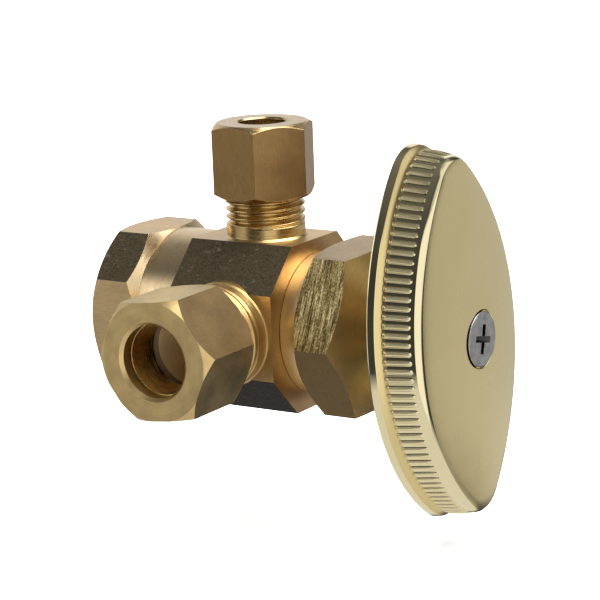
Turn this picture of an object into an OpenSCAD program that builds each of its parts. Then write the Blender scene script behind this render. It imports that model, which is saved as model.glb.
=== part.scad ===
// Angle stop valve with two compression outlets.
// The inlet screws on to a 1/2 in pipe; one outlet takes 3/8 in tube, the other 1/4 in tube.
// Frame: origin at the centre of the inlet mouth, +X along the pipe axis towards the handle,
// -Y towards the 3/8 in outlet, +Z towards the 1/4 in outlet. Millimetres, valve closed.

/* [Body bar] */
// Distance across the wide flats of the bar
bar_w = 23.3; // [23:0.1:26]
// Width of each wide flat; the narrow flats at 45 degrees take up the rest
bar_flat = 11.8; // [11:0.1:13]
// Length of the body from the inlet mouth to the bonnet joint
body_l = 30.4; // [30:0.1:32]
// Radius of the turned neck behind the inlet section
neck_r = 11.45; // [11.2:0.05:11.5]
// Where the turned neck starts
neck_x0 = 7.95; // [7:0.05:9]
// Where the turned neck ends and the outlet section starts
neck_x1 = 14.15; // [13:0.05:14.5]
// Distance from the inlet mouth to the axes of both outlets
port_x = 22.6; // [22.4:0.1:23]

/* [Inlet] */
// Wall radius of the inlet bore, 1/2 in pipe thread
inlet_r = 9.5; // [9.1:0.1:9.8]
// Depth of the inlet bore
inlet_depth = 12.5; // [11:0.1:13]
// Radius of the water way through the valve seat
seat_r = 3.3; // [3.1:0.1:3.6]

/* [Outlet for 3/8 in tube] */
// Thread major radius, 9/16-24
neck38_r = 7.14; // [7.05:0.01:7.2]
// Distance from the body axis to the neck tip
neck38_l = 21.3; // [20.5:0.1:21.5]
// Tube socket radius
socket38_r = 4.85; // [4.8:0.01:4.9]
// Nut size across flats, 5/8 in
nut38_af = 15.875; // [15.5:0.025:16.5]
// Distance from the body axis to the outer face of the nut
nut38_y = 28.35; // [28.1:0.05:28.6]

/* [Outlet for 1/4 in tube] */
// Thread major radius, 7/16-24
neck14_r = 5.5; // [5.4:0.01:5.56]
// Distance from the body axis to the neck tip
neck14_l = 21.5; // [21:0.1:21.6]
// Tube socket radius
socket14_r = 3.25; // [3.2:0.01:3.3]
// Nut size across flats, 1/2 in
nut14_af = 12.85; // [12.6:0.05:13.2]
// Distance from the body axis to the top face of the nut
nut14_z = 27.55; // [27.4:0.05:27.8]

/* [Bonnet and stem] */
// Bonnet hexagon across flats, 7/8 in
bonnet_af = 22.1; // [21.6:0.1:23]
// Radius of the round collar against the body
collar_r = 9.73; // [9.6:0.01:9.9]
// Stem thread major radius
stem_r = 4.6; // [4.4:0.05:4.8]
// Radius of the plain stem through its two ring seals
shaft_r = 3.6; // [3.5:0.05:3.7]
// Radius of the stem disc that holds the seat washer
disc_r = 6.3; // [6.1:0.05:6.5]

/* [Handle] */
// Half width of the handle rim
rim_a = 15.4; // [14.5:0.1:16]
// Half length of the handle rim
rim_b = 26.4; // [26:0.1:29]
// Radius of the rounded tips of the rim
rim_tip = 6.6; // [6:0.1:8]
// Half width of the front face
face_a = 12.5; // [12:0.1:13]
// Half length of the front face
face_b = 24.6; // [24:0.1:25.5]
// Radius of the rounded tips of the front face
face_tip = 4.5; // [4:0.1:6]
// Distance from the inlet mouth to the back of the rim
rim_x = 47.4; // [47.2:0.1:49]
// Depth of the handle edge, from the back of the rim to the front face
edge_d = 6.9; // [6.5:0.1:7]
// Rise of the domed face at its centre
crown = 1.7; // [1.5:0.1:2]
// Turn of the handle about its stem with the valve closed
handle_turn = 8.2; // [0:0.1:45]

/* [Hidden] */
$fn = 96;
run = 0.05;                        // radial running clearance of every thread and turning fit
flat_d = bar_w / 2;                // axis to wide flat
flat_h = bar_flat / 2;
seat_x = 18.6;                     // face of the raised seat ring
chamber_x = 18.0;                  // back wall of the valve chamber
chamber_r = 7.0;
shank_r = 8.3;                     // bonnet thread in the body
shank_x = 26.9;
hex_r = bonnet_af / 2 / cos(30);
hex_x0 = 34.55;                    // corner ends of the bonnet hexagon
hex_x1 = 39.4;
bonnet_end = 44.6;
washer_t = 2.6;
disc_x = seat_x + 0.02 + washer_t + 0.02;
spline = 4.8;                      // square tang of the stem
tang_x = 46.4;
stem_end = 53.2;
dome_x = rim_x + edge_d;           // edge of the domed face
head_x = dome_x + crown - 0.25;    // top of the flat screw head
head_r = 3.75;

// turned shape about +X from points [radius, x]
module turned_x(p) { rotate([0, 90, 0]) rotate([0, 0, 90]) rotate_extrude() polygon(p); }
// turned shape about -Y from points [radius, distance]
module turned_y(p) { rotate([90, 0, 0]) rotate_extrude() polygon(p); }
// turned shape about +Z from points [radius, z]
module turned_z(p) { rotate_extrude() polygon(p); }

// ring of rectangular section about +X
module ring_x(r0, r1, x0, x1) { turned_x([[r0, x0], [r1, x0], [r1, x1], [r0, x1]]); }

// eight-sided bar: four wide flats and four narrow ones
module bar(l) {
    rotate([90, 0, 90]) linear_extrude(height = l)
        polygon([[flat_h, flat_d], [-flat_h, flat_d], [-flat_d, flat_h], [-flat_d, -flat_h],
                 [-flat_h, -flat_d], [flat_h, -flat_d], [flat_d, -flat_h], [flat_d, flat_h]]);
}

module valve_body() {
    color([0.72, 0.56, 0.30])
    difference() {
        union() {
            intersection() {
                bar(body_l);
                turned_x([[0, 0], [11.0, 0], [13.4, 1.97], [13.4, 6.48], [neck_r, neck_x0],
                          [neck_r, neck_x1], [13.4, neck_x1], [13.4, body_l], [0, body_l]]);
            }
            translate([port_x, 0, 0]) {
                // 3/8 in outlet: plain collar, then thread, with a chamfered tip
                turned_y([[0, 7.2], [neck38_r - 0.1, 7.2], [neck38_r - 0.1, 13.1], [neck38_r, 13.1],
                          [neck38_r, neck38_l - 0.7], [neck38_r - 0.7, neck38_l], [0, neck38_l]]);
                // 1/4 in outlet
                turned_z([[0, 7.2], [neck14_r, 7.2], [neck14_r, neck14_l - 0.6],
                          [neck14_r - 0.6, neck14_l], [0, neck14_l]]);
            }
        }
        // inlet bore, drill point and water way to the seat
        turned_x([[0, -1], [inlet_r, -1], [inlet_r, inlet_depth], [seat_r, inlet_depth + 3.4],
                  [seat_r, seat_x + 1], [0, seat_x + 1]]);
        // valve chamber with the raised seat ring left standing
        turned_x([[4.5, seat_x], [4.9, chamber_x], [chamber_r, chamber_x], [chamber_r, shank_x - 1.4],
                  [shank_r + 0.03, shank_x - 0.6], [shank_r + 0.03, body_l - 1.3],
                  [collar_r - 0.4, body_l - 1.3], [collar_r - 0.4, body_l + 1], [0, body_l + 1],
                  [0, seat_x]]);
        translate([port_x, 0, 0]) {
            // tube socket, stop shoulder and flared mouth of the 3/8 in outlet
            turned_y([[0, 4], [3.4, 4], [3.4, 12.4], [socket38_r, 12.4], [socket38_r, neck38_l - 1.4],
                      [6.25, neck38_l], [6.25, neck38_l + 1], [0, neck38_l + 1]]);
            // the same for the 1/4 in outlet
            turned_z([[0, 4], [2.2, 4], [2.2, 12.8], [socket14_r, 12.8], [socket14_r, neck14_l - 1.2],
                      [4.45, neck14_l], [4.45, neck14_l + 1], [0, neck14_l + 1]]);
        }
    }
}

module bonnet() {
    color([0.70, 0.53, 0.28])
    difference() {
        union() {
            intersection() {
                rotate([3.7, 0, 0]) rotate([0, 90, 0]) rotate([0, 0, 90])
                    translate([0, 0, 31]) cylinder(h = 13, r = hex_r, $fn = 6);
                turned_x([[0, 30.9], [collar_r, hex_x0 - 0.64 * (hex_r - collar_r)],
                          [hex_r + 0.2, hex_x0 + 0.13], [hex_r + 0.2, hex_x1 - 0.09],
                          [6.2, hex_x1 + 0.47 * (hex_r - 6.2)], [0, 43.9]]);
            }
            // collar, threaded shank and the short spout round the stem
            turned_x([[0, shank_x], [shank_r - 0.7, shank_x], [shank_r, shank_x + 0.7],
                      [shank_r, body_l + 0.01], [collar_r, body_l + 0.01], [collar_r, hex_x0 - 1],
                      [6.2, hex_x0 + 1], [6.2, bonnet_end - 0.5], [5.7, bonnet_end], [0, bonnet_end]]);
        }
        // stem thread bore, then the smooth bore for the ring seals
        turned_x([[0, shank_x - 1], [stem_r + run, shank_x - 1], [stem_r + run, 37.2],
                  [shaft_r + run, 37.8], [shaft_r + run, bonnet_end + 1], [0, bonnet_end + 1]]);
    }
}

module bonnet_gasket() {
    color([0.35, 0.12, 0.10]) ring_x(shank_r + 0.05, collar_r - 0.45, body_l - 1.28, body_l - 0.01);
}

module stem() {
    color([0.74, 0.58, 0.32])
    difference() {
        union() {
            turned_x([[0, disc_x], [5.65, disc_x], [5.65, disc_x - 1.5], [disc_r - 0.2, disc_x - 1.5],
                      [disc_r, disc_x - 1.3], [disc_r, disc_x + 1.4], [disc_r - 0.3, disc_x + 1.7],
                      [3.0, disc_x + 1.7], [3.0, 24.4], [stem_r - 0.6, 24.4], [stem_r, 25.0],
                      [stem_r, 33.0], [shaft_r, 33.9],
                      [shaft_r, 38.2], [2.5, 38.2], [2.5, 39.5], [shaft_r, 39.5],
                      [shaft_r, 40.3], [2.5, 40.3], [2.5, 41.6], [shaft_r, 41.6],
                      [shaft_r, tang_x - 0.3], [shaft_r - 0.3, tang_x], [0, tang_x]]);
            rotate([handle_turn, 0, 0])
            intersection() {
                translate([tang_x - 1, -spline / 2, -spline / 2])
                    cube([stem_end - tang_x + 1, spline, spline]);
                turned_x([[0, tang_x - 1], [3.2, tang_x - 1], [3.2, stem_end - 0.5],
                          [2.7, stem_end], [0, stem_end]]);
            }
        }
        // tapped holes for the washer screw and the handle screw
        turned_x([[0, disc_x - 1], [1.65, disc_x - 1], [1.65, disc_x + 6.2], [0, disc_x + 7.1]]);
        turned_x([[0, stem_end + 1], [2.1, stem_end + 1], [2.1, 43.9], [0, 42.7]]);
    }
}

// round-section ring seal about +X
module o_ring(x) {
    rotate([0, 90, 0]) translate([0, 0, x]) rotate_extrude() translate([3.07, 0]) circle(r = 0.55);
}
module stem_o_ring_inner() { color([0.07, 0.07, 0.07]) o_ring(38.85); }
module stem_o_ring_outer() { color([0.07, 0.07, 0.07]) o_ring(40.95); }

module seat_washer() {
    color([0.09, 0.09, 0.09])
    turned_x([[1.7, seat_x + 0.02], [5.3, seat_x + 0.02], [5.6, seat_x + 0.32],
              [5.6, seat_x + 0.02 + washer_t], [1.7, seat_x + 0.02 + washer_t]]);
}

module washer_screw() {
    color([0.76, 0.60, 0.33])
    difference() {
        turned_x([[0, seat_x - 1.35], [2.1, seat_x - 1.35], [2.8, seat_x - 0.75], [2.8, seat_x],
                  [1.6, seat_x], [1.6, disc_x + 5.6], [1.1, disc_x + 6.1], [0, disc_x + 6.1]]);
        translate([seat_x - 2, -3.5, -0.4]) cube([1.3, 7, 0.8]);
    }
}

// long oval of the handle from four arcs: half width a, half length b, tip radius t
function lens(a, b, t) =
    let (c = b - t, r = (a * a + c * c - t * t) / (2 * (a - t)), w = atan2(c, r - a),
         side = [for (i = [0:23]) let (u = -w + 2 * w * i / 24) [a - r + r * cos(u), r * sin(u)]],
         tip = [for (i = [0:11]) let (u = w + (180 - 2 * w) * i / 12) [t * cos(u), c + t * sin(u)]])
    concat(side, tip, -side, -tip);

// oval part of the way from the rim (f = 0) to the face edge (f = 1)
function oval(f) = lens(rim_a + f * (face_a - rim_a), rim_b + f * (face_b - rim_b),
                        rim_tip + f * (face_tip - rim_tip));

// slab of that oval from x0 to x1, narrowing evenly to the oval f1
module taper(f0, f1, x0, x1) {
    translate([x0, 0, 0]) rotate([90, 0, 90])
        linear_extrude(height = x1 - x0, slices = 1,
                       scale = [(rim_a + f1 * (face_a - rim_a)) / (rim_a + f0 * (face_a - rim_a)),
                                (rim_b + f1 * (face_b - rim_b)) / (rim_b + f0 * (face_b - rim_b))])
            polygon(oval(f0));
}
// one flat-topped layer of the domed face, between two fractions of its half width
module dome_layer(s0, s1) {
    translate([dome_x + crown * (1 - s0 * s0) - 0.01, 0, 0]) rotate([90, 0, 90])
        linear_extrude(height = crown * (s0 * s0 - s1 * s1) + 0.01, slices = 1, scale = [s1 / s0, s1 / s0])
            polygon(lens(face_a * s0, face_b * s0, face_tip * s0));
}

module handle() {
    color([0.80, 0.70, 0.42])
    rotate([handle_turn, 0, 0])
    difference() {
        union() {
            difference() {
                union() {
                    // rim, step, ribbed side, rounded front edge and domed face
                    translate([rim_x, 0, 0]) rotate([90, 0, 90]) linear_extrude(height = 1.25)
                        polygon(oval(0));
                    taper(0, 0.32, rim_x + 1.24, rim_x + 2.0);
                    taper(0.32, 0.54, rim_x + 1.99, rim_x + 5.2);
                    taper(0.54, 0.80, rim_x + 5.19, dome_x - 0.45);
                    taper(0.80, 1.0, dome_x - 0.46, dome_x);
                    dome_layer(1, 0.84);
                    dome_layer(0.84, 0.66);
                    dome_layer(0.66, 0.46);
                    dome_layer(0.46, 0.24);
                }
                // hollow back of the casting
                translate([rim_x - 1, 0, 0]) rotate([90, 0, 90]) linear_extrude(height = edge_d - 0.9)
                    polygon(lens(rim_a - 3.9, rim_b - 3.9, rim_tip - 3.9));
            }
            // hub round the stem, with a web along the long axis
            turned_x([[0, rim_x - 0.7], [5.0, rim_x - 0.7], [5.4, rim_x - 0.3], [5.4, dome_x - 1],
                      [0, dome_x - 1]]);
            translate([rim_x + 1.6, -0.9, -face_b + 3]) cube([edge_d - 3, 1.8, 2 * face_b - 6]);
        }
        // square hole for the tang, screw hole and countersink
        translate([rim_x - 2, -spline / 2 - 0.04, -spline / 2 - 0.04])
            cube([stem_end - rim_x + 2.1, spline + 0.08, spline + 0.08]);
        turned_x([[0, rim_x], [2.3, rim_x], [2.3, head_x - 2.05], [head_r + 0.1, head_x - 0.15],
                  [head_r + 0.1, head_x + 2], [0, head_x + 2]]);
    }
}

module handle_screw() {
    color([0.62, 0.63, 0.64])
    difference() {
        turned_x([[0, 44.6], [1.5, 44.6], [2.05, 45.2], [2.05, head_x - 2.13], [head_r, head_x - 0.2],
                  [head_r, head_x], [0, head_x]]);
        // cross recess
        rotate([-12, 0, 0]) for (a = [0, 90]) rotate([a, 0, 0])
            translate([head_x - 1.2, -2.1, -0.4]) cube([2, 4.2, 0.8]);
    }
}

module nut_38() {
    rc = nut38_af / 2 / cos(30);
    y0 = nut38_y - 11.65;
    color([0.70, 0.55, 0.30])
    translate([port_x, 0, 0])
    difference() {
        intersection() {
            rotate([90, 0, 0]) rotate([0, 0, 6.45])
                translate([0, 0, y0]) cylinder(h = nut38_y - y0, r = rc, $fn = 6);
            turned_y([[0, y0], [rc - 1.2, y0], [rc + 0.1, y0 + 1.4], [rc + 0.1, nut38_y - 1.4],
                      [rc - 1.1, nut38_y], [0, nut38_y]]);
        }
        // thread bore, cone that squeezes the sleeve, tube hole with a chamfered mouth
        turned_y([[0, y0 - 1], [neck38_r + 0.5, y0 - 1], [neck38_r + 0.5, y0], [neck38_r + run, y0 + 0.45],
                  [neck38_r + run, 24.3], [5.9, 25.2], [4.9, 26.5], [4.9, nut38_y - 0.4],
                  [5.3, nut38_y], [5.3, nut38_y + 1], [0, nut38_y + 1]]);
    }
}

module sleeve_38() {
    color([0.78, 0.62, 0.34])
    translate([port_x, 0, 0])
    turned_y([[4.80, 21.2], [4.95, 21.2], [5.6, 22.5], [5.6, 24.4], [5.05, 26.2], [4.80, 26.2]]);
}

module nut_14() {
    rc = nut14_af / 2 / cos(30);
    z0 = nut14_z - 10.35;
    color([0.70, 0.54, 0.29])
    translate([port_x, 0, 0])
    difference() {
        intersection() {
            rotate([0, 0, -7.2]) translate([0, 0, z0]) cylinder(h = nut14_z - z0, r = rc, $fn = 6);
            turned_z([[0, z0], [rc - 1.25, z0], [rc + 0.1, z0 + 0.83], [rc + 0.1, nut14_z - 0.85],
                      [rc - 1.25, nut14_z], [0, nut14_z]]);
        }
        turned_z([[0, z0 - 1], [neck14_r + 0.45, z0 - 1], [neck14_r + 0.45, z0],
                  [neck14_r + run, z0 + 0.4], [neck14_r + run, 24.2], [4.3, 25.0], [3.3, 26.1],
                  [3.3, nut14_z - 0.2], [3.5, nut14_z], [3.5, nut14_z + 1], [0, nut14_z + 1]]);
    }
}

module sleeve_14() {
    color([0.78, 0.62, 0.34])
    translate([port_x, 0, 0])
    turned_z([[3.21, 21.55], [3.38, 21.55], [3.95, 22.8], [3.95, 24.1], [3.45, 25.7], [3.21, 25.7]]);
}

valve_body();
bonnet();
bonnet_gasket();
stem();
stem_o_ring_inner();
stem_o_ring_outer();
seat_washer();
washer_screw();
handle();
handle_screw();
nut_38();
sleeve_38();
nut_14();
sleeve_14();
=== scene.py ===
import math

import bmesh
import bpy
from mathutils import Matrix, Vector


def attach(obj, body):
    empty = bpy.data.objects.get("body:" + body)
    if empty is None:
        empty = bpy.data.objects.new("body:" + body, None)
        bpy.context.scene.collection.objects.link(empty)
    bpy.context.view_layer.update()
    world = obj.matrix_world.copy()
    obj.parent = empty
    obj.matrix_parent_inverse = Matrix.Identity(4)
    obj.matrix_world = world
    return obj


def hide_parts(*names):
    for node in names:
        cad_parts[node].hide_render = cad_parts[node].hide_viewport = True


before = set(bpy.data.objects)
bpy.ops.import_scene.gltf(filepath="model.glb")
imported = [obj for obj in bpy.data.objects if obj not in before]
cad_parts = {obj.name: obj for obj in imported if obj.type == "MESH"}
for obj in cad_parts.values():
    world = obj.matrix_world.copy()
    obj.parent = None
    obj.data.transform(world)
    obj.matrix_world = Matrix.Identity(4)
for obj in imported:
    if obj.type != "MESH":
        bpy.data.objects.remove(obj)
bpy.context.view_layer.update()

MM = 0.001
TAU = 2 * math.pi

# ------------------------------------------------------------------ sizes, mm, row frame
FLAT_D, FLAT_H = 11.65, 5.9          # octagonal bar: axis to wide flat, half width of it
BODY_L, CORNER_R = 30.4, 13.4        # length of the bar, radius its corners are turned to
NECK_R, NECK0, NECK1 = 11.45, 7.95, 14.15    # turned neck between inlet and bar
INLET_R, INLET_D = 9.5, 12.5         # plain wall of the inlet
PORT = 22.6                          # inlet mouth to the axes of both outlets
TUBE_38, TUBE_14 = 4.85, 3.25        # radii of the tube sockets
PITCH_24, PITCH_PIPE, PITCH_STEM = 1.0583, 1.8143, 1.27
HEX_AF, HEX0, HEX1 = 22.1, 34.55, 39.4       # bonnet hexagon: across flats, back, front
HEX_R = HEX_AF / 2 / math.cos(math.radians(30))
COLLAR_R = 9.73                      # bonnet collar
SNOUT_R = 6.2                        # bonnet in front of its cone
SEAT = 18.6                          # rim that the washer closes on
DISC = SEAT + 2.64                   # back of the washer
STEM_R, GROOVE_R = 3.6, 2.5          # stem where the seals sit, floor of their grooves
RIM_X, EDGE_D, CROWN = 47.4, 6.9, 1.7        # back of the handle, its depth at the edge, rise of the face
RIM_A, RIM_B, RIM_T = 15.4, 26.4, 6.6        # handle rim: half width, half length, tip radius
FACE_A, FACE_B, FACE_T = 12.5, 24.6, 4.5     # the same for the edge of the face
HANDLE_TURN = 8.2                    # degrees the handle stands away from upright
TOP_X = RIM_X + EDGE_D + CROWN       # middle of the face
HEAD_X = TOP_X + 0.02                # edge of the screw head
LIP_X = TOP_X - 0.30                 # edge of the countersink
LIP_R = 4.15                         # where the face starts to run into it


# ------------------------------------------------------------------ node helpers
class Tree:
    """Short forms for building a node material, or the nodes of a given tree."""

    def __init__(self, name, tree=None):
        if tree is not None:
            self.nt = tree
            return
        self.mat = bpy.data.materials.new(name)
        self.mat.use_nodes = True
        self.nt = self.mat.node_tree
        self.bsdf = self.nt.nodes["Principled BSDF"]

    def put(self, socket, value):
        if isinstance(value, bpy.types.NodeSocket):
            self.nt.links.new(value, socket)
        elif isinstance(value, (tuple, list)) and len(value) == 3 and socket.type == "RGBA":
            socket.default_value = (*value, 1)
        else:
            socket.default_value = value

    def node(self, kind, out=0, props=None, **inputs):
        n = self.nt.nodes.new(kind)
        for k, v in (props or {}).items():
            setattr(n, k, v)
        for k, v in inputs.items():
            key = int(k[1:]) if k[0] == "i" and k[1:].isdigit() else k.replace("_", " ")
            self.put(n.inputs[key], v)
        return n.outputs[out]

    def math(self, op, a, b=0.0):
        return self.node("ShaderNodeMath", props={"operation": op}, i0=a, i1=b)

    def mix(self, fac, a, b):
        n = self.nt.nodes.new("ShaderNodeMix")
        n.data_type = "RGBA"
        self.put(n.inputs[0], fac)
        self.put(n.inputs[6], a)
        self.put(n.inputs[7], b)
        return n.outputs[2]

    def ramp(self, fac, *stops):
        n = self.nt.nodes.new("ShaderNodeValToRGB")
        while len(n.color_ramp.elements) < len(stops):
            n.color_ramp.elements.new(0.5)
        for e, (p, c) in zip(n.color_ramp.elements, stops):
            e.position = p
            e.color = (*c, 1) if isinstance(c, (tuple, list)) else (c, c, c, 1)
        self.put(n.inputs[0], fac)
        return n.outputs[0]

    def span(self, v, a, b, lo=0.0, hi=1.0):
        return self.node("ShaderNodeMapRange", props={"clamp": True}, Value=v, i1=a, i2=b, i3=lo, i4=hi)

    def coords(self):
        """Object coordinates in metres."""
        return self.node("ShaderNodeTexCoord", out=3)

    def coords_mm(self):
        return self.node("ShaderNodeVectorMath", props={"operation": "SCALE"}, i0=self.coords(), Scale=1000.0)

    def stretch(self, vector, scale):
        return self.node("ShaderNodeVectorMath", props={"operation": "MULTIPLY"}, i0=vector, i1=scale)

    def split(self, vector):
        n = self.nt.nodes.new("ShaderNodeSeparateXYZ")
        self.put(n.inputs[0], vector)
        return list(n.outputs)

    def vec(self, x, y, z):
        return self.node("ShaderNodeCombineXYZ", i0=x, i1=y, i2=z)

    def noise(self, vector, scale, detail=3.0, rough=0.5):
        return self.node("ShaderNodeTexNoise", Vector=vector, Scale=scale, Detail=detail, Roughness=rough)

    def bump(self, height, distance, strength=1.0, normal=None):
        n = self.nt.nodes.new("ShaderNodeBump")
        self.put(n.inputs["Height"], height)
        self.put(n.inputs["Distance"], distance)
        self.put(n.inputs["Strength"], strength)
        if normal is not None:
            self.put(n.inputs["Normal"], normal)
        return n.outputs[0]

    def out(self, color, rough, normal=None, metallic=1.0, **more):
        b = self.bsdf
        self.put(b.inputs["Base Color"], color)
        self.put(b.inputs["Roughness"], rough)
        self.put(b.inputs["Metallic"], metallic)
        if normal is not None:
            self.put(b.inputs["Normal"], normal)
        for k, v in more.items():
            self.put(b.inputs[k.replace("_", " ")], v)
        return self.mat


# ------------------------------------------------------------------ materials
def brass_flat(name, tint, grain=1.0, rough=(0.30, 0.46), along=(1, 1, 1)):
    """Wide machined flats: satin, faintly mottled, with fine drawn lines."""
    t = Tree(name)
    mm = t.coords_mm()
    lines = t.stretch(mm, along)
    cloud = t.noise(mm, 0.22, 4.0, 0.55)
    fine = t.noise(lines, 3.2, 3.0, 0.6)
    pits = t.noise(mm, 2.6, 4.0, 0.7)
    pit_mask = t.span(pits, 0.64, 0.72)
    col = t.mix(t.span(cloud, 0.35, 0.65), [c * 0.86 for c in tint], [min(1, c * 1.10) for c in tint])
    col = t.mix(t.span(fine, 0.3, 0.7, 0.0, 0.35), col, [c * 0.62 for c in tint])
    col = t.mix(t.math("MULTIPLY", pit_mask, 0.6), col, [c * 0.35 for c in tint])
    rg = t.span(t.math("ADD", t.math("MULTIPLY", cloud, 0.6), t.math("MULTIPLY", fine, 0.4)),
                0.35, 0.65, rough[0], rough[1])
    nrm = t.bump(fine, 0.000012 * grain, 0.8)
    nrm = t.bump(t.math("SUBTRACT", 1.0, pit_mask), 0.00003 * grain, 0.7, nrm)
    return t.out(col, rg, nrm)


def brass_scale(name, level=1.0):
    """Dark rolling scale left on the narrow flats: rough, with small bright worn spots."""
    t = Tree(name)
    mm = t.coords_mm()
    flow = t.stretch(mm, (0.65, 1.2, 1.2))
    coarse = t.noise(flow, 1.5, 5.0, 0.68)
    fine = t.noise(flow, 5.0, 4.0, 0.6)
    wide = t.noise(mm, 0.18, 2.0, 0.5)
    patchy = t.math("MULTIPLY", t.math("SUBTRACT", wide, 0.5), 0.25)
    worn = t.span(t.math("ADD", coarse, patchy), 0.60, 0.74)
    dark = t.mix(t.span(fine, 0.35, 0.65), [c * level for c in (0.12, 0.095, 0.055)],
                 [c * level for c in (0.29, 0.235, 0.145)])
    col = t.mix(t.math("MULTIPLY", worn, 0.7), dark, [c * level for c in (0.75, 0.62, 0.40)])
    h = t.math("ADD", t.math("MULTIPLY", coarse, 0.7), t.math("MULTIPLY", fine, 0.3))
    return t.out(col, t.span(fine, 0.3, 0.7, 0.50, 0.72), t.bump(h, 0.00016, 0.8))


def brass_turned(name, tint, axis=0, centre=(0, 0, 0), rings=1.0, rough=(0.18, 0.34), stain=0.35, metal=1.0):
    """Lathe-turned surface: ring marks that follow the turning axis. rings is their depth."""
    t = Tree(name)
    rel = [t.math("SUBTRACT", c, centre[i] * MM) for i, c in enumerate(t.split(t.coords()))]
    ax = rel[axis]
    u, v = [rel[i] for i in range(3) if i != axis]
    rad = t.math("SQRT", t.math("ADD", t.math("MULTIPLY", u, u), t.math("MULTIPLY", v, v)))
    ang = t.math("ARCTAN2", u, v)
    ring_v = t.vec(t.math("MULTIPLY", ax, 1000.0), t.math("MULTIPLY", rad, 1000.0),
                   t.math("MULTIPLY", t.math("SINE", ang), 0.25))
    ring = t.noise(ring_v, 5.5, 2.0, 0.6)
    groove = t.noise(ring_v, 1.6, 2.0, 0.5)
    mm = t.coords_mm()
    cloud = t.noise(mm, 0.35, 4.0, 0.6)
    spots = t.span(t.noise(mm, 2.2, 3.0, 0.7), 0.66, 0.74)
    col = t.mix(t.span(cloud, 0.35, 0.68, 0.0, stain), tint, [c * 0.55 for c in tint])
    col = t.mix(t.span(ring, 0.3, 0.7, 0.0, 0.22), col, [c * 0.6 for c in tint])
    col = t.mix(t.math("MULTIPLY", spots, 0.5), col, [c * 0.3 for c in tint])
    rg = t.span(t.math("ADD", t.math("MULTIPLY", cloud, 0.5), t.math("MULTIPLY", ring, 0.5)),
                0.35, 0.65, rough[0], rough[1])
    h = t.math("ADD", t.math("MULTIPLY", ring, 0.5), t.math("MULTIPLY", groove, 0.8))
    return t.out(col, rg, t.bump(h, 0.000035 * rings, 0.9), metal, Anisotropic=0.35)


def brass_marks(name):
    """Rough flat: broken tool lines across it, bright on the crests and dark olive between."""
    t = Tree(name)
    mm = t.coords_mm()
    drift = t.math("MULTIPLY", t.math("SUBTRACT", t.noise(mm, 0.6, 2.0, 0.5), 0.5), 0.7)
    u, v, w = t.split(t.stretch(mm, (3.6, 0.22, 0.22)))
    band = t.noise(t.vec(t.math("ADD", u, drift), v, w), 1.0, 2.0, 0.6)
    grain = t.noise(t.stretch(mm, (6.0, 3.0, 3.0)), 1.0, 3.0, 0.7)
    h = t.math("ADD", t.math("MULTIPLY", band, 0.5), t.math("MULTIPLY", grain, 0.5))
    col = t.ramp(t.span(h, 0.38, 0.60), (0.0, (0.10, 0.07, 0.025)), (0.40, (0.24, 0.18, 0.07)),
                 (0.70, (0.50, 0.39, 0.17)), (1.0, (0.90, 0.74, 0.40)))
    return t.out(col, t.span(h, 0.40, 0.60, 0.50, 0.32), t.bump(h, 0.00013, 0.8))


def gold(name, face=False, tint=(0.86, 0.76, 0.47), rough=(0.045, 0.09)):
    """Pale gold plating: polished and almost clean, or satin with tiny specks on the face."""
    t = Tree(name)
    mm = t.coords_mm()
    cloud = t.noise(mm, 0.12, 3.0, 0.5)
    specks = t.span(t.noise(mm, 1.7, 3.0, 0.75), 0.70, 0.76)
    col = t.mix(t.span(cloud, 0.3, 0.7), [c * 0.94 for c in tint], tint)
    col = t.mix(t.math("MULTIPLY", specks, 0.45 if face else 0.12), col, (0.25, 0.19, 0.10))
    wave = t.noise(mm, 0.35 if face else 0.5, 2.0, 0.5)
    nrm = t.bump(wave, 0.00003 if face else 0.00001, 0.5)
    if face:
        nrm = t.bump(t.noise(mm, 9.0, 3.0, 0.6), 0.000006, 0.6, nrm)
    return t.out(col, t.span(cloud, 0.3, 0.7, *rough), nrm)


def steel(name, level):
    """Plain screw steel with fine darker grain."""
    t = Tree(name)
    mm = t.coords_mm()
    cloud = t.noise(mm, 0.8, 4.0, 0.6)
    fine = t.noise(mm, 6.0, 3.0, 0.6)
    col = t.mix(t.span(cloud, 0.35, 0.65), [c * level for c in (0.30, 0.30, 0.29)],
                [c * level for c in (0.47, 0.47, 0.45)])
    col = t.mix(t.span(fine, 0.55, 0.75, 0.0, 0.5), col, (0.16, 0.15, 0.14))
    return t.out(col, t.span(cloud, 0.3, 0.7, 0.28, 0.42), t.bump(fine, 0.00002, 0.7))


def rubber(name, tint):
    """Matt seal or sheet material with a fine grain."""
    t = Tree(name)
    mm = t.coords_mm()
    cloud = t.noise(mm, 0.7, 4.0, 0.6)
    fine = t.noise(mm, 7.0, 3.0, 0.6)
    col = t.mix(t.span(cloud, 0.3, 0.7), tint, [c * 1.6 for c in tint])
    return t.out(col, t.span(fine, 0.3, 0.7, 0.5, 0.72), t.bump(fine, 0.00002, 0.6), metallic=0.0)


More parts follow.
